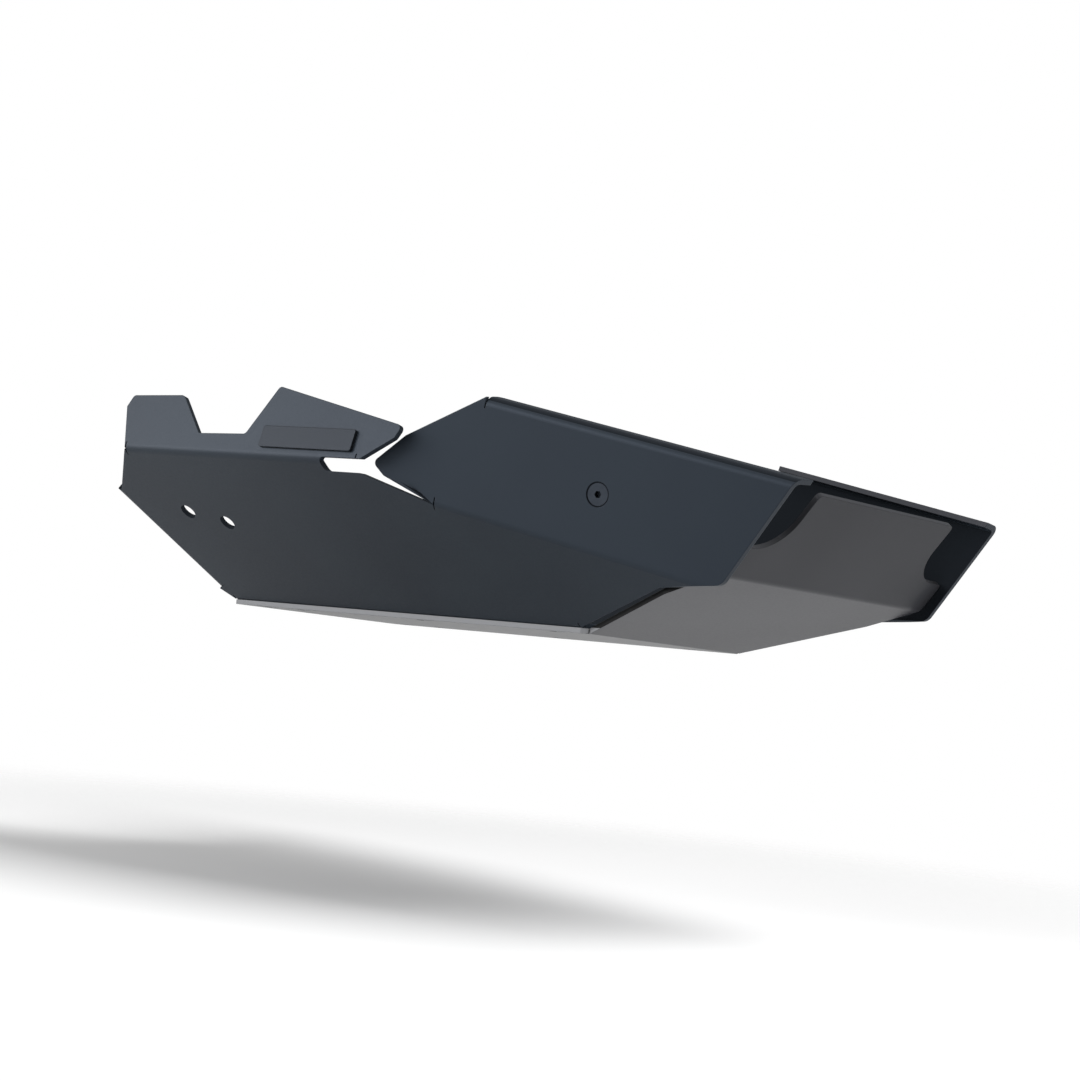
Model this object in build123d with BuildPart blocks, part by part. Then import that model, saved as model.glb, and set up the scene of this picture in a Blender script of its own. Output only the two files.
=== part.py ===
from build123d import *
from math import atan2, cos, degrees, hypot, radians, sin, tan
import os

# Motorcycle belly pan: two folded side panels clamped on a folded centre pan, with the brackets that
# carry it under an engine. +X is forward, +Y left, +Z up, and the floor's underside is at Z = 0.
# Millimetres. Heights are above the floor's underside, and x stations run from the tail or the nose.

# Sheet metal
sheet = 2.5
bend_inside = 2.0
bend_relief = 0.3
fold_tolerance = 0.05
flange_turn = 90.0
corner_radius = 2.5
trim_margin = 6.0

# Whole pan, from the tail corners to the nose corners
overall_length = 412.0

# Floor of the centre pan
floor_width = 122.0
tail_overhang = 37.0
nose_overhang = 127.0

# Chin and front plate of the centre pan
chin_rise = 29.0
chin_gap = 3.0
front_plate_length = 50.0
front_plate_angle = 51.5
front_recess = 7.0
shoulder_length = 17.0
tab_inset = 27.3
tab_corner = 18.0
nose_gap = 1.0

# Side panel: main face, which leans outwards from the floor up to the waist fold
main_lean = 50.0
tail_height = 53.0
tail_step = 5.0
waist_rear_inset = 33.0
waist_rear_height = 72.0
waist_front_height = 68.0
waist_gap = 8.0
heel = 8.0
bottom_flange = 16.0
rear_flange = 9.0

# Side panel: upper flange above the waist fold
upper_lean = 14.0
crest_height = 101.0
crest_chamfer = 6.0
crest_length = 33.0
notch_height = 81.0
notch_slope = 20.0
notch_floor_length = 34.0
peak_height = 105.5
peak_slope = 14.5
tip_height = 86.0
tip_overhang = 24.0
tip_cut = 6.0

# Side panel: front section, a flatter face that meets the main face on a slanting fold
nose_splay = 23.0
nose_height = 71.5
nose_rake = 34.0
nose_skirt = 4.5
skirt_radius = 6.0
front_flare = 12.2
front_lean = 8.5
shoulder_height = 101.5
shoulder_x = 149.0
top_flange = 11.0
dart_mouth_reach = 204.0
dart_length = 27.0
dart_mouth_rise = 12.0
hook_reach = 6.0
hook_rise = 18.0
hook_top_setback = 12.0
hook_top_rise = 31.0
chin_corner_reach = 60.0

# Slot that frees the upper flange's front end
slot_length = 24.0
slot_width = 4.5
slot_lift = 1.5
slot_mouth = 9.0
slot_radius = 2.0

# Open holes in the main face
rear_hole_diameter = 9.0
rear_hole_inset = 49.0
rear_hole_height = 44.0
rear_hole_pitch = 26.0
rear_hole_drop = 4.3

# Side screw, seen flush in the front section
side_screw_back = 93.0
side_screw_height = 60.3
side_screw_diameter = 5.0
side_screw_head = 10.2
side_screw_length = 16.0
side_sink_diameter = 11.4
side_washer_diameter = 12.0
side_washer_thickness = 1.0
side_nut_width = 8.0
side_nut_height = 4.7
side_socket = 3.0

# Floor screws
floor_screw_diameter = 4.0
floor_screw_head = 7.5
floor_screw_length = 14.0
floor_sink_diameter = 8.5
floor_nut_width = 7.0
floor_nut_height = 3.2
floor_socket = 2.5
floor_screw_inset = 9.0
floor_screw_front_setback = 25.0
screw_hole_clearance = 0.25
screw_seat_clearance = 0.1
screw_rim = 0.2
screw_point_chamfer = 0.5
nut_chamfer = 0.4
countersink_angle = 90.0

# Brackets and the rubber-mounted eyes that take the engine bolts
bracket_sheet = 3.0
bracket_bend_inside = 2.0
eye_radius = 11.0
front_foot_tail = 11.0
front_foot_rise = 17.0
front_eye_reach = 17.0
rear_bracket_length = 48.0
rear_bracket_setback = 32.0
rear_foot_margin = 2.0
rear_screw_pitch = 26.0
rear_eye_height = 32.0
grommet_diameter = 15.0
grommet_groove = 11.0
grommet_lip = 2.5
sleeve_diameter = 8.0
sleeve_bore = 6.4
sleeve_end = 0.5
rubber_clearance = 0.1
grommet_round = 0.8
sleeve_chamfer = 0.25

# Badge plate, left bare
badge_length = 63.0
badge_height = 10.6
badge_thickness = 1.5
badge_lift = 4.6
badge_setback = 35.0

# Derived stations and half-widths
nose = overall_length / 2
tail = -nose
floor_half = floor_width / 2
nose_half_width = floor_half + nose_splay
floor_rear = tail + tail_overhang
floor_front = nose - nose_overhang
plate_cos = cos(radians(front_plate_angle))
plate_sin = sin(radians(front_plate_angle))
chin_front = nose - front_recess - front_plate_length * plate_cos
main_slope = tan(radians(main_lean))
flare_slope = tan(radians(front_flare))
front_slope = tan(radians(front_lean))
waist_rear = tail + waist_rear_inset
mouth_x = nose - dart_mouth_reach
waist_front = mouth_x - waist_gap
waist_fall = (waist_rear_height - waist_front_height) / (waist_front - waist_rear)
bend_outside = bend_inside + sheet
main_inward = Vector(0, cos(radians(main_lean)), sin(radians(main_lean)))
front_inward = Vector(-flare_slope, 1, front_slope).normalized()
core = Vector(0, 0, nose_height)
chin_angle = degrees(atan2(chin_rise, chin_front - floor_front))
fold_turn = main_inward.get_angle(front_inward)


# Points on the faces of the pan, all on the right-hand side
def chin_height(x):
    return chin_rise * (x - floor_front) / (chin_front - floor_front)


def on_chin(x, y):
    return Vector(x, y, chin_height(x))


def on_front_plate(along, y):
    return Vector(chin_front + along * plate_cos, y, chin_rise + along * plate_sin)


def on_main(x, z):
    return Vector(x, -floor_half - (z - sheet) * main_slope, z)


def waist_height(x):
    return waist_rear_height - (x - waist_rear) * waist_fall


def on_upper(x, z):
    waist = on_main(x, waist_height(x))
    return Vector(x, waist.Y + (z - waist.Z) * tan(radians(upper_lean)), z)


def on_front(x, z):
    half = nose_half_width + (nose - x) * flare_slope + (z - nose_height) * front_slope
    return Vector(x, -half, z)


# The slanting fold is where the main face and the front section meet
fold_rise = -flare_slope / (main_slope - front_slope)
fold_at_zero = (
    nose_splay + nose * flare_slope - nose_height * front_slope + sheet * main_slope
) / (main_slope - front_slope)


def on_fold(x):
    return on_main(x, fold_at_zero + fold_rise * x)


# A flat face of sheet, cornered by points in space and thickened towards a point inside the fold
def facet(corners, inside, radii=()):
    first, second, third = corners[0], corners[1], corners[2]
    normal = (second - first).cross(third - first)
    if normal.dot(inside - first) < 0:
        normal = normal * -1
    plane = Plane(origin=first, x_dir=second - first, z_dir=normal)
    local = [plane.to_local_coords(corner) for corner in corners]
    with BuildSketch(plane) as outline:
        with BuildLine():
            Polyline(*local, close=True)
        make_face()
        for corner, radius in zip(local, radii):
            if radius > 0:
                fillet(outline.vertices().sort_by_distance(corner)[0], radius)
    return outline.sketch


# Edges that run along a fold line, at a given distance from it
def fold_edges(edges, start, end, distance):
    along = (end - start).normalized()

    def is_on_fold(edge):
        offset = edge.center() - start
        run = offset.dot(along)
        apart = (offset - along * run).length
        return 0 < run < (end - start).length and abs(apart - distance) < fold_tolerance

    return edges.filter_by(Axis(start, along)).filter_by(is_on_fold)


# Rounds a fold of the sheet being built, with a thin relief cut across its start, and across its end
# too unless one straight cut has already trimmed both faces there
def bend(sheet_part, start, end, turn, trimmed=False):
    reach = hypot(bend_outside * tan(radians(turn / 2)), sheet) + bend_relief
    relieved = [start] if trimmed else [start, end]
    with Locations(*[Plane(place, z_dir=end - start) for place in relieved]):
        Cylinder(reach, 2 * bend_relief, mode=Mode.SUBTRACT)
    fillet(fold_edges(sheet_part.edges(), start, end, 0), bend_outside)
    fillet(fold_edges(sheet_part.edges(), start, end, sheet / cos(radians(turn / 2))), bend_inside)


# Centre pan: floor, chin and front plate folded from one sheet
floor_corner = floor_half - chin_gap
chin_corner_x = floor_front + chin_corner_reach
chin_corner_z = chin_height(chin_corner_x) + sheet
chin_corner = -on_main(chin_corner_x, chin_corner_z).Y - chin_gap * main_slope
nose_half = -on_front(chin_front, chin_rise).Y - sheet / front_inward.Y - nose_gap


def both_sides(points):
    return points + [Vector(p.X, -p.Y, p.Z) for p in reversed(points)]


floor_corners = both_sides(
    [
        Vector(floor_rear, -floor_half, 0),
        Vector(floor_front - chin_gap, -floor_half, 0),
        Vector(floor_front, -floor_corner, 0),
    ]
)
chin_corners = both_sides(
    [
        on_chin(floor_front, -floor_corner),
        on_chin(chin_corner_x, -chin_corner),
        on_chin(chin_front, -nose_half),
    ]
)
tab_half = nose_half - tab_inset
front_plate_corners = both_sides(
    [
        on_front_plate(0, -nose_half),
        on_front_plate(shoulder_length, -nose_half),
        on_front_plate(shoulder_length, -tab_half),
        on_front_plate(front_plate_length, -tab_half),
    ]
)
front_plate_radii = [0, corner_radius, tab_corner, corner_radius]

rear_bracket_x = floor_rear + rear_bracket_setback
rear_screw_x = [rear_bracket_x - rear_screw_pitch / 2, rear_bracket_x + rear_screw_pitch / 2]
front_screw_x = floor_front - floor_screw_front_setback
middle_screw_x = (rear_screw_x[1] + front_screw_x) / 2
floor_screw_y = -floor_half + floor_screw_inset
floor_screw_hole = floor_screw_diameter / 2 + screw_hole_clearance
floor_screw_x = rear_screw_x + [middle_screw_x, front_screw_x]
floor_screw_heads = [
    Plane((x, y, 0), z_dir=(0, 0, -1)) for x in floor_screw_x for y in (floor_screw_y, -floor_screw_y)
]

with BuildPart() as centre_pan:
    extrude(facet(floor_corners, core), amount=sheet)
    extrude(facet(chin_corners, core), amount=sheet)
    extrude(facet(front_plate_corners, core, front_plate_radii + front_plate_radii[::-1]), amount=sheet)
    bend(centre_pan, chin_corners[0], chin_corners[-1], chin_angle)
    bend(centre_pan, front_plate_corners[0], front_plate_corners[-1], front_plate_angle - chin_angle)
    with Locations(*floor_screw_heads):
        CounterSinkHole(floor_screw_hole, floor_sink_diameter / 2, 2 * sheet, countersink_angle)

# Side panel: main face, upper flange and front section, with return flanges on three edges
heel_bottom = on_main(floor_rear, sheet)
heel_top = on_main(floor_rear - heel, sheet + heel * cos(radians(main_lean)))
tail_corner = on_main(tail, tail_height)
tail_notch = on_main(tail + tail_step, tail_height)
waist_start = on_main(waist_rear, waist_rear_height)
waist_end = on_main(waist_front, waist_front_height)
dart_tip = on_fold(mouth_x + dart_length)
panel_chin_front = on_main(chin_corner_x, chin_corner_z)
panel_chin_rear = on_main(floor_front - chin_gap, sheet)
nose_corner = on_front(nose, nose_height)
skirt_x = nose - nose_rake
skirt_corner = on_front(skirt_x, chin_rise - nose_skirt)
skirt_rise = (skirt_corner.Z - chin_corner_z) / (skirt_x - chin_corner_x)
fold_end_x = (chin_corner_z - skirt_rise * chin_corner_x - fold_at_zero) / (fold_rise - skirt_rise)
fold_end = on_fold(fold_end_x)
fold_past = on_fold(fold_end_x + trim_margin)
skirt_past = on_front(skirt_x + trim_margin, skirt_corner.Z - trim_margin)
top_fall = (shoulder_height - nose_height) / shoulder_x
nose_past = on_front(nose + trim_margin, nose_height - top_fall * trim_margin)
main_corners = [
    heel_bottom,
    heel_top,
    tail_corner,
    tail_notch,
    waist_start,
    waist_end,
    dart_tip,
    fold_past,
    panel_chin_front,
    panel_chin_rear,
]

crest_rear = waist_rear - crest_chamfer
crest_front = waist_rear + crest_length
notch_rear = crest_front + notch_slope
notch_front = notch_rear + notch_floor_length
peak_x = notch_front + peak_slope
tip_x = waist_front + tip_overhang
upper_corners = [
    waist_start,
    on_upper(crest_rear - crest_chamfer / 2, crest_height - crest_chamfer),
    on_upper(crest_rear, crest_height),
    on_upper(crest_front, crest_height),
    on_upper(notch_rear, notch_height),
    on_upper(notch_front, notch_height),
    on_upper(peak_x, peak_height),
    on_upper(tip_x, tip_height),
    on_upper(tip_x - tip_cut / 2, tip_height - tip_cut),
    waist_end,
]
upper_radii = [0, 0, corner_radius, 2 * corner_radius] + [corner_radius] * 5

shoulder = on_front(nose - shoulder_x, shoulder_height)
front_corners = [
    dart_tip,
    on_front(mouth_x, dart_tip.Z + dart_mouth_rise),
    on_front(mouth_x - hook_reach, dart_tip.Z + hook_rise),
    on_front(mouth_x + hook_top_setback, dart_tip.Z + hook_top_rise),
    shoulder,
    nose_past,
    skirt_past,
    fold_past,
]
front_radii = [0, 0, corner_radius]
rake_rise = (nose_height - skirt_corner.Z) / nose_rake
past_nose = nose + nose_rake
skirt_cut = [
    (chin_corner_x, chin_corner_z),
    (skirt_x, skirt_corner.Z),
    (past_nose, nose_height + nose_rake * rake_rise),
    (past_nose, 0),
    (chin_corner_x, 0),
]


# A flange turned off a face along one of its edges, with its free corners rounded
def flange(start, end, inward, width):
    corners = [start, end, end + inward * width, start + inward * width]
    return facet(corners, core, [0, 0, corner_radius, corner_radius])


slot_start = waist_front - slot_length
slot_corners = [
    (slot_start, waist_height(slot_start) + slot_lift),
    (slot_start, waist_height(slot_start) - slot_width),
    (mouth_x - slot_mouth, waist_height(waist_front) - slot_width),
    (dart_tip.X, dart_tip.Z),
    (waist_front + slot_width, waist_height(waist_front) + slot_lift),
]
side_cut_depth = overall_length
rear_hole_places = [
    on_main(tail + rear_hole_inset, rear_hole_height),
    on_main(tail + rear_hole_inset + rear_hole_pitch, rear_hole_height - rear_hole_drop),
]
side_screw_place = on_front(nose - side_screw_back, side_screw_height)
side_screw_hole = side_screw_diameter / 2 + screw_hole_clearance
side_cone_end = side_sink_diameter / 2 - sheet + screw_hole_clearance

with BuildPart() as right_side_panel:
    extrude(facet(main_corners, core), amount=sheet)
    extrude(facet(upper_corners, core, upper_radii), amount=sheet)
    bend(right_side_panel, waist_start, waist_end, main_lean + upper_lean)
    with BuildSketch(Plane.XZ) as slot_outline:
        with BuildLine():
            Polyline(*slot_corners, close=True)
        make_face()
        fillet(slot_outline.vertices().group_by(Axis.X)[0], slot_radius)
    extrude(amount=side_cut_depth, mode=Mode.SUBTRACT)
    extrude(flange(heel_bottom, panel_chin_rear, Vector(0, 1, 0), bottom_flange), amount=sheet)
    bend(right_side_panel, heel_bottom, panel_chin_rear, main_inward.get_angle(Vector(0, 0, 1)))
    extrude(facet(front_corners, core, front_radii), amount=sheet)
    extrude(flange(shoulder, nose_past, front_inward, top_flange), amount=sheet)
    with BuildSketch(Plane.XZ) as skirt_outline:
        with BuildLine():
            Polyline(*skirt_cut, close=True)
        make_face()
        fillet(skirt_outline.vertices().sort_by_distance((skirt_x, skirt_corner.Z))[0], skirt_radius)
    extrude(amount=side_cut_depth, mode=Mode.SUBTRACT)
    bend(right_side_panel, dart_tip, fold_end, fold_turn, trimmed=True)
    bend(right_side_panel, shoulder, nose_corner, flange_turn, trimmed=True)
    extrude(flange(heel_top, tail_corner, main_inward, rear_flange), amount=sheet)
    bend(right_side_panel, heel_top, tail_corner, flange_turn)
    with Locations(*[Plane(place, z_dir=-main_inward) for place in rear_hole_places]):
        Hole(rear_hole_diameter / 2, 2 * sheet)
    with Locations(Plane(side_screw_place, z_dir=-front_inward)):
        CounterSinkHole(side_screw_hole, side_sink_diameter / 2, 2 * sheet, countersink_angle)
    with Locations(*[(x, floor_screw_y, 2 * sheet) for x in floor_screw_x]):
        Hole(floor_screw_hole, 2 * sheet)

# Badge plate: a bare strip bonded on the upper flange, its long side parallel to the waist fold
badge_front = waist_front - badge_setback + badge_length / 2
badge_rear = badge_front - badge_length
badge_corners = [
    on_upper(x, waist_height(x) + lift)
    for x, lift in (
        (badge_rear, badge_lift),
        (badge_front, badge_lift),
        (badge_front, badge_lift + badge_height),
        (badge_rear, badge_lift + badge_height),
    )
]

with BuildPart() as right_badge_plate:
    extrude(facet(badge_corners, core, [corner_radius / 2] * 4), amount=-badge_thickness)

# Side view of a bracket: a strip from its foot's end over one fold to its eye, thickened towards the
# inside of the fold
def folded_strip(foot_end, fold, eye, across):
    plane = Plane(fold, x_dir=eye - fold, z_dir=across)
    foot = plane.to_local_coords(foot_end)
    lug = plane.to_local_coords(eye)
    with BuildSketch(plane) as side_view:
        with BuildLine() as strip:
            FilletPolyline(foot, (0, 0), lug, radius=bracket_bend_inside + bracket_sheet)
            offset(strip.line, amount=bracket_sheet, side=Side.LEFT if foot.Y > 0 else Side.RIGHT)
        make_face()
    return side_view.sketch


# Rounds the eye's end of a bracket, bores it for the grommet and rounds the free corners of the foot
def finish_bracket(bracket, eye, eye_axis, foot_end, foot_axis):
    with Locations(Plane(eye - eye_axis * (bracket_sheet / 2), z_dir=eye_axis)):
        Cylinder(eye_radius, bracket_sheet)
        Cylinder(grommet_hole, bracket_sheet, mode=Mode.SUBTRACT)
    foot_edges = bracket.edges().filter_by(Axis(foot_end, foot_axis)).sort_by_distance(foot_end)
    fillet(foot_edges[:2], corner_radius)


# Front bracket: a foot on the inner side of the front section, folded to a level lug whose eye drops
# on an engine stud
grommet_hole = grommet_groove / 2 + rubber_clearance
foot_place = side_screw_place + front_inward * sheet
foot_along = front_inward.cross(Vector(0, 0, 1)).normalized()
foot_up = foot_along.cross(front_inward)
lug_inward = Vector(front_inward.X, front_inward.Y, 0).normalized()
front_foot_end = foot_place - foot_up * front_foot_tail
front_fold = foot_place + foot_up * front_foot_rise
front_eye = front_fold + lug_inward * front_eye_reach

with BuildPart() as right_front_bracket:
    extrude(folded_strip(front_foot_end, front_fold, front_eye, foot_along), amount=eye_radius, both=True)
    finish_bracket(right_front_bracket, front_eye, Vector(0, 0, 1), front_foot_end, front_inward)
    with Locations(Plane(foot_place, z_dir=-front_inward)):
        Hole(max(side_screw_hole, side_cone_end), 2 * bracket_sheet)

# Rear bracket: a foot clamped on the bottom flange by two floor screws, folded up to a lug whose eye
# takes an engine bolt from the open tail
flange_top = 2 * sheet
rear_eye_y = -floor_half + rear_foot_margin + eye_radius
rear_foot_end = Vector(rear_bracket_x - rear_bracket_length / 2, rear_eye_y, flange_top)
rear_fold = Vector(rear_bracket_x + rear_bracket_length / 2, rear_eye_y, flange_top)
rear_eye = Vector(rear_fold.X, rear_eye_y, rear_eye_height)

with BuildPart() as right_rear_bracket:
    extrude(folded_strip(rear_foot_end, rear_fold, rear_eye, Vector(0, 1, 0)), amount=eye_radius, both=True)
    finish_bracket(right_rear_bracket, rear_eye, Vector(1, 0, 0), rear_foot_end, Vector(0, 0, 1))
    with Locations(*[(x, floor_screw_y, flange_top + bracket_sheet) for x in rear_screw_x]):
        Hole(floor_screw_hole, 2 * bracket_sheet)


# Countersunk socket screw: the head's face at the origin, the shank along +Z
def countersunk_screw(diameter, head, length, socket):
    cone = (head - diameter) / 2
    with BuildPart() as screw:
        with BuildSketch(Plane.XZ):
            with BuildLine():
                Polyline(
                    (0, 0),
                    (head / 2, 0),
                    (head / 2, screw_rim),
                    (diameter / 2, screw_rim + cone),
                    (diameter / 2, length),
                    (0, length),
                    close=True,
                )
            make_face()
        revolve(axis=Axis.Z)
        chamfer(screw.edges().group_by(Axis.Z)[-1], screw_point_chamfer)
        with BuildSketch(Plane.XY):
            RegularPolygon(socket / 2, 6, major_radius=False)
        extrude(amount=cone, mode=Mode.SUBTRACT)
    return screw.part


# Hexagon nut on its seat at the origin, with its corners eased at the top, open for a plain shank
def hexagon_nut(width, height, shank):
    with BuildPart() as nut:
        with BuildSketch(Plane.XY):
            RegularPolygon(width / 2, 6, major_radius=False)
        extrude(amount=height)
        chamfer(nut.faces().sort_by(Axis.Z)[-1].edges(), nut_chamfer)
        with Locations((0, 0, height)):
            Hole(shank / 2 + screw_seat_clearance, height)
    return nut.part


# Rubber grommet with a groove that takes the bracket's edge, centred on the bracket, its axis along Z
def eye_grommet():
    half = bracket_sheet / 2 + grommet_lip
    with BuildPart() as grommet:
        Cylinder(grommet_diameter / 2, 2 * half)
        fillet(grommet.edges().filter_by(GeomType.CIRCLE), grommet_round)
        with BuildSketch(Plane.XY):
            Circle(grommet_diameter)
            Circle(grommet_groove / 2, mode=Mode.SUBTRACT)
        extrude(amount=bracket_sheet / 2 + rubber_clearance, both=True, mode=Mode.SUBTRACT)
        with Locations((0, 0, half)):
            Hole(sleeve_diameter / 2 + rubber_clearance, 2 * half)
    return grommet.part


# Steel sleeve through the grommet, which the engine bolt clamps
def eye_sleeve():
    half = bracket_sheet / 2 + grommet_lip + sleeve_end
    with BuildPart() as sleeve:
        Cylinder(sleeve_diameter / 2, 2 * half)
        with Locations((0, 0, half)):
            Hole(sleeve_bore / 2, 2 * half)
        chamfer(sleeve.edges().filter_by(GeomType.CIRCLE), sleeve_chamfer)
    return sleeve.part


# A countersunk head sinks until its cone meets the sheet's, less the seat clearance
side_sink = (side_sink_diameter - side_screw_head) / 2 - screw_rim - screw_seat_clearance
floor_sink = (floor_sink_diameter - floor_screw_head) / 2 - screw_rim - screw_seat_clearance
side_axis = Plane(side_screw_place, z_dir=front_inward)
floor_nut_places = [(x, floor_screw_y, flange_top + bracket_sheet) for x in rear_screw_x] + [
    (x, floor_screw_y, flange_top) for x in (middle_screw_x, front_screw_x)
]
front_eye_centre = Plane(front_eye - Vector(0, 0, bracket_sheet / 2), z_dir=(0, 0, 1))
rear_eye_centre = Plane(rear_eye - Vector(bracket_sheet / 2, 0, 0), z_dir=(1, 0, 0))

with BuildPart() as right_side_screw:
    with Locations(side_axis.offset(side_sink)):
        add(countersunk_screw(side_screw_diameter, side_screw_head, side_screw_length, side_socket))

with BuildPart() as right_side_washer:
    with BuildSketch(side_axis.offset(sheet + bracket_sheet)):
        Circle(side_washer_diameter / 2)
        Circle(side_screw_hole, mode=Mode.SUBTRACT)
    extrude(amount=side_washer_thickness)

with BuildPart() as right_side_nut:
    with Locations(side_axis.offset(sheet + bracket_sheet + side_washer_thickness)):
        add(hexagon_nut(side_nut_width, side_nut_height, side_screw_diameter))

with BuildPart() as right_floor_screws:
    with Locations(*[(x, floor_screw_y, floor_sink) for x in floor_screw_x]):
        add(countersunk_screw(floor_screw_diameter, floor_screw_head, floor_screw_length, floor_socket))

with BuildPart() as right_floor_nuts:
    with Locations(*floor_nut_places):
        add(hexagon_nut(floor_nut_width, floor_nut_height, floor_screw_diameter))

with BuildPart() as right_front_grommet:
    with Locations(front_eye_centre):
        add(eye_grommet())

with BuildPart() as right_front_sleeve:
    with Locations(front_eye_centre):
        add(eye_sleeve())

with BuildPart() as right_rear_grommet:
    with Locations(rear_eye_centre):
        add(eye_grommet())

with BuildPart() as right_rear_sleeve:
    with Locations(rear_eye_centre):
        add(eye_sleeve())

# The left-hand pieces mirror the right-hand ones
right_pieces = {
    "side_panel": right_side_panel,
    "badge_plate": right_badge_plate,
    "front_bracket": right_front_bracket,
    "rear_bracket": right_rear_bracket,
    "side_screw": right_side_screw,
    "side_washer": right_side_washer,
    "side_nut": right_side_nut,
    "floor_screws": right_floor_screws,
    "floor_nuts": right_floor_nuts,
    "front_grommet": right_front_grommet,
    "front_sleeve": right_front_sleeve,
    "rear_grommet": right_rear_grommet,
    "rear_sleeve": right_rear_sleeve,
}

os.makedirs("parts", exist_ok=True)
centre_pan.part.label = "centre_pan"
export_step(centre_pan.part, "parts/centre_pan.step")
for name, right in right_pieces.items():
    with BuildPart() as left:
        mirror(right.part, about=Plane.XZ)
    right.part.label = f"right_{name}"
    left.part.label = f"left_{name}"
    export_step(right.part, f"parts/right_{name}.step")
    export_step(left.part, f"parts/left_{name}.step")
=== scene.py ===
import math

import bpy
from mathutils import Matrix, Vector


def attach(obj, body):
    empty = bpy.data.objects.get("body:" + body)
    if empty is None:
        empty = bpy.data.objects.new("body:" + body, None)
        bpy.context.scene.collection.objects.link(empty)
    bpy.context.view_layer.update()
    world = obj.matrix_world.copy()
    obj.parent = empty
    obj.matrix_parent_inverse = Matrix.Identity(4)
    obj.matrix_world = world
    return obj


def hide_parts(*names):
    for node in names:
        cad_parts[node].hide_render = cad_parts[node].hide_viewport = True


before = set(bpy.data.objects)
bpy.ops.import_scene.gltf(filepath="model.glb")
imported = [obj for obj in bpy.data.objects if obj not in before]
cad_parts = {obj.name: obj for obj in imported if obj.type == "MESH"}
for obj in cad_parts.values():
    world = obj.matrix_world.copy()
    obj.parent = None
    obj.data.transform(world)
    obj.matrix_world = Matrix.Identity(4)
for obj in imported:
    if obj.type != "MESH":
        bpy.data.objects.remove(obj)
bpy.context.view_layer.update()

# Centre pan: floor, chin and front plate, folded from one aluminium sheet as a shield against stones.
# It is powder coated in a satin grey, baked on after folding, so that the coat runs over every fold.
MM = 0.001
SHEET_EDGE_MM = 0.5
EDGE_SAMPLES = 6
ABOVE_PAN_MM = (0, 0, 300)
SIDE_SCREW_MM = (113, 102.43, 60.3)
COUNTERSINK_MM = 11.5
TONE_DRIFT_MM = 90
TONE_STOPS = (0.35, 0.65)
PEEL_HEIGHT_MM = 0.02
PEEL_STRENGTH = 0.25
GRAIN_HEIGHT_MM = 0.06
GRAIN_STRENGTH = 0.3


def linear(hex_colour):
    channels = [int(hex_colour[i : i + 2], 16) / 255 for i in (1, 3, 5)]
    return [c / 12.92 if c <= 0.04045 else ((c + 0.055) / 1.055) ** 2.4 for c in channels] + [1.0]


def per_metre(size_mm):
    return 1 / (size_mm * MM)


def add(tree, kind, settings=None, links=None):
    made = tree.nodes.new(kind)
    for name, value in (settings or {}).items():
        if isinstance(name, int) or name in made.inputs:
            made.inputs[name].default_value = value
        else:
            setattr(made, name, value)
    for name, source in (links or {}).items():
        tree.links.new(source, made.inputs[name])
    return made


def surface(name):
    material = bpy.data.materials.new(name)
    material.use_nodes = True
    tree = material.node_tree
    shader = tree.nodes["Principled BSDF"]
    place = add(tree, "ShaderNodeTexCoord").outputs["Object"]
    return material, tree, shader, place


def coat(node_names, material):
    for name in node_names:
        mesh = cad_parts[name].data
        mesh.materials.clear()
        mesh.materials.append(material)


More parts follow.
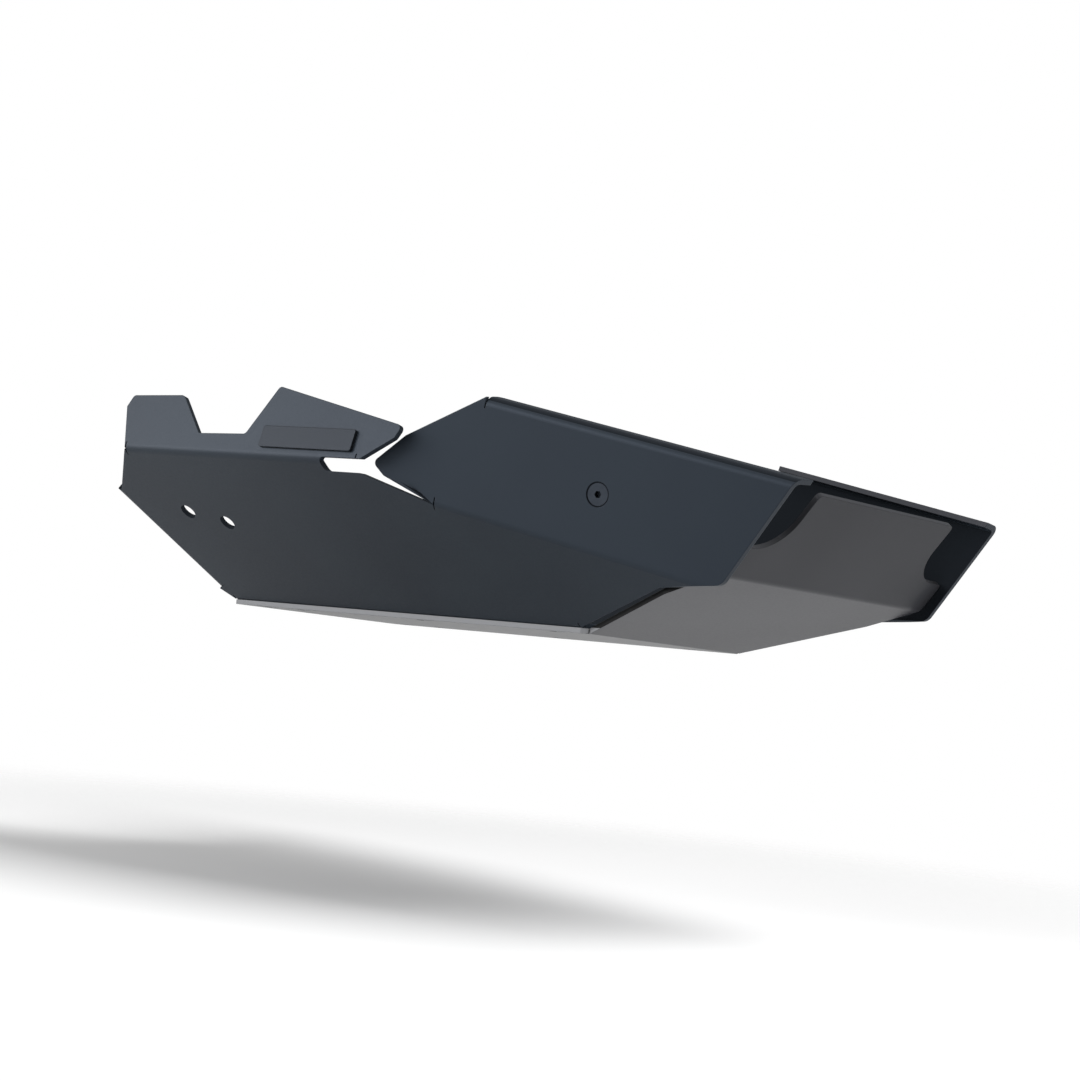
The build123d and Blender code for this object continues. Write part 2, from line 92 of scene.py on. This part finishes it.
# Powder coat melts and levels in the oven: a soft satin sheen, a faint orange peel a few millimetres
# wide, a fine grain, and a tone that drifts a little over the sheet. The real grain is a few tenths of
# a millimetre, and is drawn coarser here so that it shows. Faces turned to the point above the pan and
# the side screws' countersinks get a painted shade colour and full roughness, for shade that falls there.
def grained_finish(name, tones, painted_shade_colour, peel_mm, grain_mm, roughness, specular, tint):
    material, tree, shader, place = surface(name)
    drift = add(
        tree,
        "ShaderNodeTexNoise",
        {"Scale": per_metre(TONE_DRIFT_MM), "Detail": 2.0},
        {"Vector": place},
    )
    tone = add(tree, "ShaderNodeValToRGB", links={"Fac": drift.outputs["Fac"]})
    for stop, position, colour in zip(tone.color_ramp.elements, TONE_STOPS, tones):
        stop.position = position
        stop.color = linear(colour)
    facing = add(tree, "ShaderNodeNewGeometry").outputs["True Normal"]
    outwards = add(
        tree,
        "ShaderNodeVectorMath",
        {"operation": "SUBTRACT", 1: [v * MM for v in ABOVE_PAN_MM]},
        {0: place},
    )
    turned = add(
        tree,
        "ShaderNodeVectorMath",
        {"operation": "DOT_PRODUCT"},
        {0: facing, 1: outwards.outputs[0]},
    )
    inner = add(tree, "ShaderNodeMath", {"operation": "LESS_THAN", 1: 0.0}, {0: turned.outputs["Value"]})
    either_side = add(tree, "ShaderNodeVectorMath", {"operation": "ABSOLUTE"}, {0: place})
    apart = add(
        tree,
        "ShaderNodeVectorMath",
        {"operation": "DISTANCE", 1: [v * MM for v in SIDE_SCREW_MM]},
        {0: either_side.outputs[0]},
    )
    sunk = add(
        tree,
        "ShaderNodeMath",
        {"operation": "LESS_THAN", 1: COUNTERSINK_MM / 2 * MM},
        {0: apart.outputs["Value"]},
    )
    # Painted shade mask: faces inside the pan and the screw countersinks take the painted shade colour.
    painted_shade = add(tree, "ShaderNodeMath", {"operation": "MAXIMUM"}, {0: inner.outputs[0], 1: sunk.outputs[0]})
    shade = add(
        tree,
        "ShaderNodeMixRGB",
        {"Color2": linear(painted_shade_colour)},
        {"Fac": painted_shade.outputs[0], "Color1": tone.outputs["Color"]},
    )
    grain = add(tree, "ShaderNodeTexNoise", {"Scale": per_metre(grain_mm), "Detail": 2.0}, {"Vector": place})
    peel = add(tree, "ShaderNodeTexNoise", {"Scale": per_metre(peel_mm), "Detail": 1.0}, {"Vector": place})
    gloss = add(
        tree,
        "ShaderNodeMapRange",
        {"To Min": roughness[0], "To Max": roughness[1]},
        {"Value": grain.outputs["Fac"]},
    )
    dulled = add(
        tree,
        "ShaderNodeMath",
        {"operation": "MAXIMUM"},
        {0: gloss.outputs["Result"], 1: painted_shade.outputs[0]},
    )
    rounded = add(tree, "ShaderNodeBevel", {"samples": EDGE_SAMPLES, "Radius": SHEET_EDGE_MM * MM})
    wavy = add(
        tree,
        "ShaderNodeBump",
        {"Strength": PEEL_STRENGTH, "Distance": PEEL_HEIGHT_MM * MM},
        {"Height": peel.outputs["Fac"], "Normal": rounded.outputs["Normal"]},
    )
    rough = add(
        tree,
        "ShaderNodeBump",
        {"Strength": GRAIN_STRENGTH, "Distance": GRAIN_HEIGHT_MM * MM},
        {"Height": grain.outputs["Fac"], "Normal": wavy.outputs["Normal"]},
    )
    shader.inputs["Specular IOR Level"].default_value = specular
    shader.inputs["Specular Tint"].default_value = linear(tint)
    tree.links.new(shade.outputs["Color"], shader.inputs["Base Color"])
    tree.links.new(dulled.outputs[0], shader.inputs["Roughness"])
    tree.links.new(rough.outputs["Normal"], shader.inputs["Normal"])
    return material


grey_coat = grained_finish(
    "grey_satin_powder_coat",
    tones=("#37383c", "#3e3f43"),
    # Painted shade colour for the faces inside the pan and the countersinks.
    painted_shade_colour="#3c3d40",
    peel_mm=3.5,
    grain_mm=1.2,
    roughness=(0.31, 0.39),
    specular=0.1,
    tint="#ffffff",
)

# The floor's long cut sides get a paler colour, a painted reflection of the bright floor beside them.
# The chin's cut sides get near black, a painted shade for the seam between the chin and the black panels.
FLOOR_TOP_MM = 3
CHIN_TOP_MM = 31
SIDEWAYS = 0.5
FLOOR_EDGE_REFLECTION = "#8b8c8f"
CHIN_SEAM_SHADE = "#08090a"


# Mixes a colour of painted light and shade into a coat wherever the mask is set.
def paint_light_and_shade(material, where, colour):
    tree = material.node_tree
    base = tree.nodes["Principled BSDF"].inputs["Base Color"]
    coated = base.links[0].from_socket
    mixed = add(tree, "ShaderNodeMixRGB", {"Color2": linear(colour)}, {"Fac": where, "Color1": coated})
    tree.links.new(mixed.outputs["Color"], base)


tree = grey_coat.node_tree
facing = add(tree, "ShaderNodeNewGeometry").outputs["True Normal"]
place = add(tree, "ShaderNodeTexCoord").outputs["Object"]
width = add(tree, "ShaderNodeVectorMath", {"operation": "DOT_PRODUCT", 1: (0, 1, 0)}, {0: facing})
spread = add(tree, "ShaderNodeMath", {"operation": "ABSOLUTE"}, {0: width.outputs["Value"]})
sideways = add(tree, "ShaderNodeMath", {"operation": "GREATER_THAN", 1: SIDEWAYS}, {0: spread.outputs[0]})
height = add(tree, "ShaderNodeVectorMath", {"operation": "DOT_PRODUCT", 1: (0, 0, 1)}, {0: place})
# Painted shade on the chin's cut sides, then a painted reflection on the floor's cut sides.
for top_mm, colour in ((CHIN_TOP_MM, CHIN_SEAM_SHADE), (FLOOR_TOP_MM, FLOOR_EDGE_REFLECTION)):
    below = add(
        tree,
        "ShaderNodeMath",
        {"operation": "LESS_THAN", 1: top_mm * MM},
        {0: height.outputs["Value"]},
    )
    cut = add(
        tree,
        "ShaderNodeMath",
        {"operation": "MULTIPLY"},
        {0: sideways.outputs[0], 1: below.outputs[0]},
    )
    paint_light_and_shade(grey_coat, cut.outputs[0], colour)
coat(["centre_pan"], grey_coat)

# Side panels: two mirrored aluminium sheets with a main face, an upper flange and a flatter front
# section, folded, notched and clamped on the floor by their bottom flanges. Their fine black powder
# coat has a duller sheen than the grey one, with a cool tinge.
SIDES = ("right", "left")
black_coat = grained_finish(
    "black_fine_powder_coat",
    tones=("#1a1f25", "#1f252b"),
    # Painted shade colour, darker, for the faces inside the pan and the countersinks.
    painted_shade_colour="#0e1114",
    peel_mm=3.0,
    grain_mm=1.1,
    roughness=(0.42, 0.54),
    specular=0.3,
    tint="#d6e6ff",
)

# The inner edges of the front sections' top flanges get a grey line, a painted highlight of the light
# that those edges catch. They lie parallel to the front section, a flange's width behind its face.
FRONT_FLARE_DEG = 12.2
FRONT_LEAN_DEG = 8.5
TOP_FLANGE_MM = 11
FLANGE_EDGE_BAND_MM = 0.4
PARALLEL = 0.97
FLANGE_EDGE_HIGHLIGHT = "#4a4b4f"
flare = math.tan(math.radians(FRONT_FLARE_DEG))
lean = math.tan(math.radians(FRONT_LEAN_DEG))
front_face = Vector((flare, 1, -lean)).normalized()
flange_edge_depth_mm = front_face.dot(Vector(SIDE_SCREW_MM)) - TOP_FLANGE_MM
tree = black_coat.node_tree
facing = add(tree, "ShaderNodeNewGeometry").outputs["True Normal"]
place = add(tree, "ShaderNodeTexCoord").outputs["Object"]
both_ways = add(tree, "ShaderNodeVectorMath", {"operation": "ABSOLUTE"}, {0: facing})
both_sides = add(tree, "ShaderNodeVectorMath", {"operation": "ABSOLUTE"}, {0: place})
along = add(
    tree,
    "ShaderNodeVectorMath",
    {"operation": "DOT_PRODUCT", 1: [abs(v) for v in front_face]},
    {0: both_ways.outputs[0]},
)
depth = add(
    tree,
    "ShaderNodeVectorMath",
    {"operation": "DOT_PRODUCT", 1: front_face},
    {0: both_sides.outputs[0]},
)
parallel = add(
    tree,
    "ShaderNodeMath",
    {"operation": "GREATER_THAN", 1: PARALLEL},
    {0: along.outputs["Value"]},
)
behind = add(
    tree,
    "ShaderNodeMath",
    {"operation": "COMPARE", 1: flange_edge_depth_mm * MM, 2: FLANGE_EDGE_BAND_MM * MM},
    {0: depth.outputs["Value"]},
)
cut = add(tree, "ShaderNodeMath", {"operation": "MULTIPLY"}, {0: parallel.outputs[0], 1: behind.outputs[0]})
# Painted highlight along the flanges' inner edges.
paint_light_and_shade(black_coat, cut.outputs[0], FLANGE_EDGE_HIGHLIGHT)
coat([f"{side}_side_panel" for side in SIDES], black_coat)

# Badge plates: thin bare plates of aluminium, anodised black and bonded on the upper flanges. The dyed
# oxide is satin, a little darker and smoother than the coat around it. Its etched grain is far finer
# than a millimetre, and is drawn coarser here so that it shows.
badge_anodise = grained_finish(
    "black_anodised_aluminium",
    tones=("#0f1114", "#13161a"),
    # Painted shade colour, darker, for faces turned to the point above the pan.
    painted_shade_colour="#0b0c0e",
    peel_mm=6.0,
    grain_mm=0.9,
    roughness=(0.4, 0.46),
    specular=0.22,
    tint="#d6e6ff",
)
coat([f"{side}_badge_plate" for side in SIDES], badge_anodise)

# Brackets: steel strips folded once, with a foot that a screw clamps and an eye for a mounting bolt.
# They are dipped in black paint, which dries to an even half gloss with a soft orange peel. Its fine
# grain is drawn coarser here so that it shows.
ENDS = ("front", "rear")
bracket_paint = grained_finish(
    "black_paint_on_steel",
    tones=("#191a1c", "#202124"),
    painted_shade_colour="#191a1c",
    peel_mm=5.0,
    grain_mm=1.2,
    roughness=(0.38, 0.48),
    specular=0.45,
    tint="#ffffff",
)
coat([f"{side}_{end}_bracket" for side in SIDES for end in ENDS], bracket_paint)

# Grommets: rings of moulded rubber pressed into the bracket eyes, which keep vibration off the sheets.
# The mould leaves a matt black skin that hardly shines. Its grain is drawn coarser here so that it shows.
grommet_rubber = grained_finish(
    "moulded_rubber",
    tones=("#161616", "#1c1c1c"),
    painted_shade_colour="#161616",
    peel_mm=4.0,
    grain_mm=0.8,
    roughness=(0.7, 0.85),
    specular=0.4,
    tint="#ffffff",
)
coat([f"{side}_{end}_grommet" for side in SIDES for end in ENDS], grommet_rubber)

# Nuts, washers and sleeves: cold-formed, punched and turned steel, tightened behind the sheets and
# through the eyes. Bright zinc plating makes them a cool metal with a slightly cloudy shine.
PLATING_CLOUD_MM = 2.5


def plated_steel(name, tones, roughness):
    material, tree, shader, place = surface(name)
    cloud = add(
        tree,
        "ShaderNodeTexNoise",
        {"Scale": per_metre(PLATING_CLOUD_MM), "Detail": 3.0},
        {"Vector": place},
    )
    tone = add(tree, "ShaderNodeValToRGB", links={"Fac": cloud.outputs["Fac"]})
    for stop, colour in zip(tone.color_ramp.elements, tones):
        stop.color = linear(colour)
    gloss = add(
        tree,
        "ShaderNodeMapRange",
        {"To Min": roughness[0], "To Max": roughness[1]},
        {"Value": cloud.outputs["Fac"]},
    )
    shader.inputs["Metallic"].default_value = 1.0
    tree.links.new(tone.outputs["Color"], shader.inputs["Base Color"])
    tree.links.new(gloss.outputs["Result"], shader.inputs["Roughness"])
    return material


zinc_plate = plated_steel("bright_zinc_plated_steel", tones=("#a9adb2", "#c9ccd0"), roughness=(0.25, 0.4))
for piece in ("side_nut", "side_washer", "floor_nuts", "front_sleeve", "rear_sleeve"):
    coat([f"{side}_{piece}" for side in SIDES], zinc_plate)

# Floor screws: M4 countersunk socket screws of zinc plated steel, cold headed and thread rolled. Four
# on each side clamp the panels' bottom flanges on the floor, with their heads flush underneath.
FLOOR_SCREWS_MM = [(x, 52, 0.2) for x in (-150, -124, -35, 54)]
SIDE_SIGNS = (-1, 1)
SCREW_SIDES = 36
RINGS_PER_TURN = 8
SCREW_RIM_MM = 0.2
POINT_CHAMFER_MM = 0.5
THREAD_DEPTH = 0.6134
THREAD_CREST = 0.875
THREAD_ROOT = 0.25
SMOOTH_BELOW_DEG = 25


# A screw is a stack of rings from the socket's floor over the head's face and cone to the point. The
# socket is as deep as the cone is high. The thread is a metric one: its depth is a share of the pitch,
# and its flanks run between the ends of the flat root and the flat crest, as shares of half the pitch.
def socket_screws(name, seats, diameter, head, length, socket, pitch, material):
    angles = [math.tau * i / SCREW_SIDES for i in range(SCREW_SIDES)]
    cone = (head - diameter) / 2
    cone_end = SCREW_RIM_MM + cone
    hexagon = [socket / 2 / math.cos(angle % (math.tau / 6) - math.tau / 12) for angle in angles]
    rim = [head / 2] * SCREW_SIDES
    rings = [(cone, hexagon), (0, hexagon), (0, rim), (SCREW_RIM_MM, rim)]
    steps = round((length - cone_end) / pitch * RINGS_PER_TURN)
    for step in range(steps + 1):
        height = cone_end + (length - cone_end) * step / steps
        run_in = min((height - cone_end) / pitch, 1)
        point = diameter / 2 - max(height - (length - POINT_CHAMFER_MM), 0)
        ring = []
        for angle in angles:
            share = abs((height / pitch - angle / math.tau) % 1 - 0.5) * 2
            flank = (THREAD_CREST - share) / (THREAD_CREST - THREAD_ROOT)
            cut = min(max(flank, 0), 1) * THREAD_DEPTH * pitch
            ring.append(min(diameter / 2 - cut * run_in, point))
        rings.append((height, ring))
    vertices = []
    faces = []
    for seat in seats:
        first = len(vertices)
        for height, ring in rings:
            for radius, angle in zip(ring, angles):
                place = Vector((radius * math.cos(angle), radius * math.sin(angle), height))
                vertices.append((seat @ place) * MM)
        last = len(vertices) - SCREW_SIDES
        faces.append([first + i for i in reversed(range(SCREW_SIDES))])
        faces.append([last + i for i in range(SCREW_SIDES)])
        for low in range(first, last, SCREW_SIDES):
            for i in range(SCREW_SIDES):
                j = (i + 1) % SCREW_SIDES
                faces.append((low + i, low + j, low + SCREW_SIDES + j, low + SCREW_SIDES + i))
    mesh = bpy.data.meshes.new(name)
    mesh.from_pydata(vertices, [], faces)
    mesh.materials.append(material)
    mesh.shade_smooth()
    mesh.set_sharp_from_angle(angle=math.radians(SMOOTH_BELOW_DEG))
    screws = bpy.data.objects.new(name, mesh)
    bpy.context.scene.collection.objects.link(screws)
    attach(screws, "root")
    return screws


for side, y_sign in zip(SIDES, SIDE_SIGNS):
    screws = socket_screws(
        f"{side}_threaded_floor_screws",
        seats=[Matrix.Translation((x, y_sign * y, z)) for x, y, z in FLOOR_SCREWS_MM],
        diameter=4.0,
        head=7.5,
        length=14.0,
        socket=2.5,
        pitch=0.7,
        material=zinc_plate,
    )
    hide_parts(f"{side}_floor_screws")

# Side screws: one M5 countersunk socket screw on each side, flush in the front section. Their steel is
# blackened in a hot salt bath, a dark cool grey that stays matt.
SIDE_SCREW_SINK_MM = 0.3
black_oxide = plated_steel("black_oxide_steel", tones=("#2c3036", "#383d44"), roughness=(0.45, 0.6))
for side, y_sign in zip(SIDES, SIDE_SIGNS):
    inward = Vector((-flare, -y_sign, lean)).normalized()
    x, y, z = SIDE_SCREW_MM
    seat = Matrix.Translation(Vector((x, y_sign * y, z)) + inward * SIDE_SCREW_SINK_MM)
    seat = seat @ inward.to_track_quat("Z", "Y").to_matrix().to_4x4()
    screw = socket_screws(
        f"{side}_threaded_side_screw",
        seats=[seat],
        diameter=5.0,
        head=10.2,
        length=16.0,
        socket=3.0,
        pitch=0.8,
        material=black_oxide,
    )
    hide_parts(f"{side}_side_screw")

# Studio floor: a pale matt floor, as far below the pan as the pan hangs above the ground. It carries
# the pan's shadow and fades out into the white room around.
GROUND_CLEARANCE_MM = 137
FLOOR_SPAN_MM = 3200
FADE_START_MM = 380
FADE_END_MM = 850
FLOOR_ROUGHNESS = 0.9
half_span = FLOOR_SPAN_MM * MM / 2
floor_corners = [(x * half_span, y * half_span, 0) for x, y in ((-1, -1), (1, -1), (1, 1), (-1, 1))]
floor_mesh = bpy.data.meshes.new("studio_floor")
floor_mesh.from_pydata(floor_corners, [], [(0, 1, 2, 3)])
studio_floor = bpy.data.objects.new("studio_floor", floor_mesh)
studio_floor.location.z = -GROUND_CLEARANCE_MM * MM
bpy.context.scene.collection.objects.link(studio_floor)
floor_paint, tree, shader, place = surface("pale_studio_floor")
shader.inputs["Base Color"].default_value = linear("#f4f4f4")
shader.inputs["Roughness"].default_value = FLOOR_ROUGHNESS
shader.inputs["Specular IOR Level"].default_value = 0.0
away = add(tree, "ShaderNodeVectorMath", {"operation": "LENGTH"}, {0: place})
fade = add(
    tree,
    "ShaderNodeMapRange",
    {
        "interpolation_type": "SMOOTHSTEP",
        "From Min": FADE_START_MM * MM,
        "From Max": FADE_END_MM * MM,
        "To Min": 1.0,
        "To Max": 0.0,
    },
    {"Value": away.outputs["Value"]},
)
tree.links.new(fade.outputs["Result"], shader.inputs["Alpha"])
floor_mesh.materials.append(floor_paint)


# Studio light: a large soft box overhead and two lower ones on the rear right that bring out the folds.
# The room around is white where it is seen, directly or in a reflection, and adds a faint even light.
def softbox(name, place_mm, aim_mm, size_mm, watts):
    lamp = bpy.data.lights.new(name, "AREA")
    lamp.shape = "RECTANGLE"
    lamp.size = size_mm[0] * MM
    lamp.size_y = size_mm[1] * MM
    lamp.energy = watts
    holder = bpy.data.objects.new(name, lamp)
    holder.location = Vector(place_mm) * MM
    holder.rotation_euler = (Vector(aim_mm) - Vector(place_mm)).to_track_quat("-Z", "Y").to_euler()
    bpy.context.scene.collection.objects.link(holder)


softbox(
    "overhead_softbox",
    place_mm=(1000, 450, 1400),
    aim_mm=(0, 0, 0),
    size_mm=(1100, 1100),
    watts=34,
)
softbox(
    "rear_right_softbox",
    place_mm=(-790, -1640, 720),
    aim_mm=(-10, -125, 84),
    size_mm=(1800, 500),
    watts=24,
)
softbox(
    "right_softbox",
    place_mm=(-1520, -1330, 280),
    aim_mm=(-80, -141, 70),
    size_mm=(1600, 300),
    watts=7,
)

ROOM_LIGHT = 0.22
world = bpy.data.worlds.new("white_room")
bpy.context.scene.world = world
world.use_nodes = True
tree = world.node_tree
sky = tree.nodes["Background"]
sky.inputs["Color"].default_value = linear("#ffffff")
rays = add(tree, "ShaderNodeLightPath").outputs
seen = add(
    tree,
    "ShaderNodeMath",
    {"operation": "MAXIMUM"},
    {0: rays["Is Camera Ray"], 1: rays["Is Glossy Ray"]},
)
shown = add(
    tree,
    "ShaderNodeMath",
    {"operation": "MAXIMUM"},
    {0: seen.outputs[0], 1: rays["Is Transmission Ray"]},
)
strength = add(
    tree,
    "ShaderNodeMapRange",
    {"To Min": ROOM_LIGHT, "To Max": 1.0},
    {"Value": shown.outputs[0]},
)
tree.links.new(strength.outputs["Result"], sky.inputs["Strength"])

# Camera: where the photograph was taken from, turned to the pan, with a longer lens so that the pan
# fills the frame.
CAMERA_MM = Vector((748.5, -845.0, -25.0))
TARGET_MM = Vector((8.0, -20.0, 46.0))
CAMERA_ROLL_DEG = 6.08
LENS_MM = 74.0
camera_data = bpy.data.cameras.new("camera")
camera_data.lens = LENS_MM
camera = bpy.data.objects.new("camera", camera_data)
turn = (TARGET_MM - CAMERA_MM).to_track_quat("-Z", "Y").to_matrix().to_4x4()
roll = Matrix.Rotation(math.radians(CAMERA_ROLL_DEG), 4, "Z")
camera.matrix_world = Matrix.Translation(CAMERA_MM * MM) @ turn @ roll
bpy.context.scene.collection.objects.link(camera)
bpy.context.scene.camera = camera
bpy.context.scene.view_settings.view_transform = "Standard"
